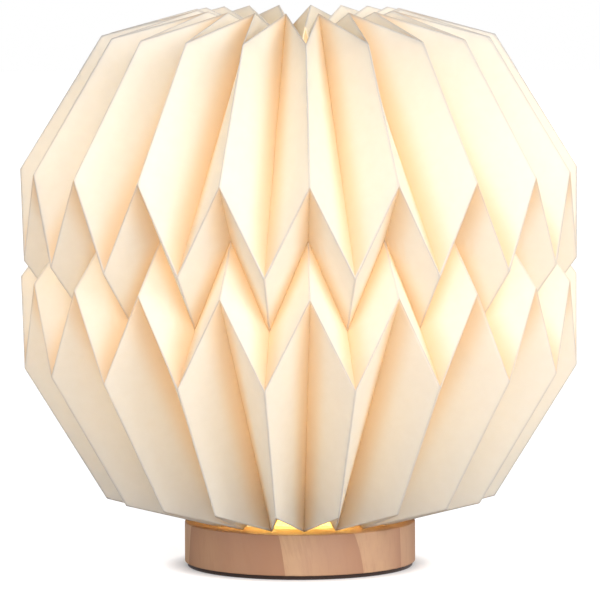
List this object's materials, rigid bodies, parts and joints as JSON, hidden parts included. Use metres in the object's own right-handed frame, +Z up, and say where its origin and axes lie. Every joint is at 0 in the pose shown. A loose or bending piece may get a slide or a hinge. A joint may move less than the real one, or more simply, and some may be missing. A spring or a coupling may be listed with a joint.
{
  "type": "pleated table lamp",
  "caption": "Table lamp with a round pleated paper shade, folded with a zigzag waist, that rests on a small turned wooden base with a lit opal lens.",
  "frame": {"origin": "middle of the underside of the base pad, on the surface that the lamp stands on", "axes": "+Z up, along the axis of base and shade; +Y to the rear, where the charging socket and the button are; +X to the right seen from the front"},
  "size_m": [0.2406, 0.2406, 0.2412],
  "materials": {
    "wood": "turned, fine sanded, thin matt oil",
    "steel_plate": "zinc plated",
    "screw_steel": "zinc plated",
    "felt_pad": "dense dark felt",
    "white_plastic": "fine moulded texture",
    "led_board": "white solder mask",
    "led_chip": "phosphor under clear resin",
    "opal": "opal, frosted, lit warm white from inside",
    "foam_tape": "foam",
    "battery_foil": "laminated foil pouch",
    "circuit_board": "green solder mask",
    "spacer_brass": "turned",
    "chip_black": "moulded",
    "socket_steel": "drawn shell",
    "black_plastic": "fine moulded texture",
    "button_plastic": "satin",
    "lead_sleeve": "smooth sleeve",
    "paper": "heavy uncoated cream-white paper, scored and folded, lets light through"
  },
  "bodies": {
    "base": {"wooden_base": "wood", "base_cover": "steel_plate", "cover_screws": "screw_steel", "base_pad": "felt_pad", "light_tray": "white_plastic", "tray_screws": "screw_steel", "led_board": "led_board", "led_chips": "led_chip", "led_board_screws": "screw_steel", "opal_lens": "opal", "battery_tape": "foam_tape", "battery_cell": "battery_foil", "charging_board": "circuit_board", "board_spacers": "spacer_brass", "board_screws": "screw_steel", "board_parts": "chip_black", "charging_socket": "socket_steel", "key_switch": "chip_black", "rear_bezel": "black_plastic", "battery_leads": "lead_sleeve", "led_leads": "lead_sleeve"},
    "button": {"power_button": "button_plastic"},
    "shade": {"shade_sheet_front": "paper", "shade_sheet_right": "paper", "shade_sheet_rear": "paper", "shade_sheet_left": "paper"}
  },
  "joints": [
    {"name": "button_press", "type": "slide", "parent": "base", "child": "button", "axis": [0, -1, 0], "range_m": [0, 0.0005], "stiffness_N_per_m": 2000, "springref_m": -0.0005},
    {"name": "shade_lift", "type": "slide", "parent": "base", "child": "shade", "axis": [0, 0, 1], "range_m": [0, 0.15]}
  ]
}
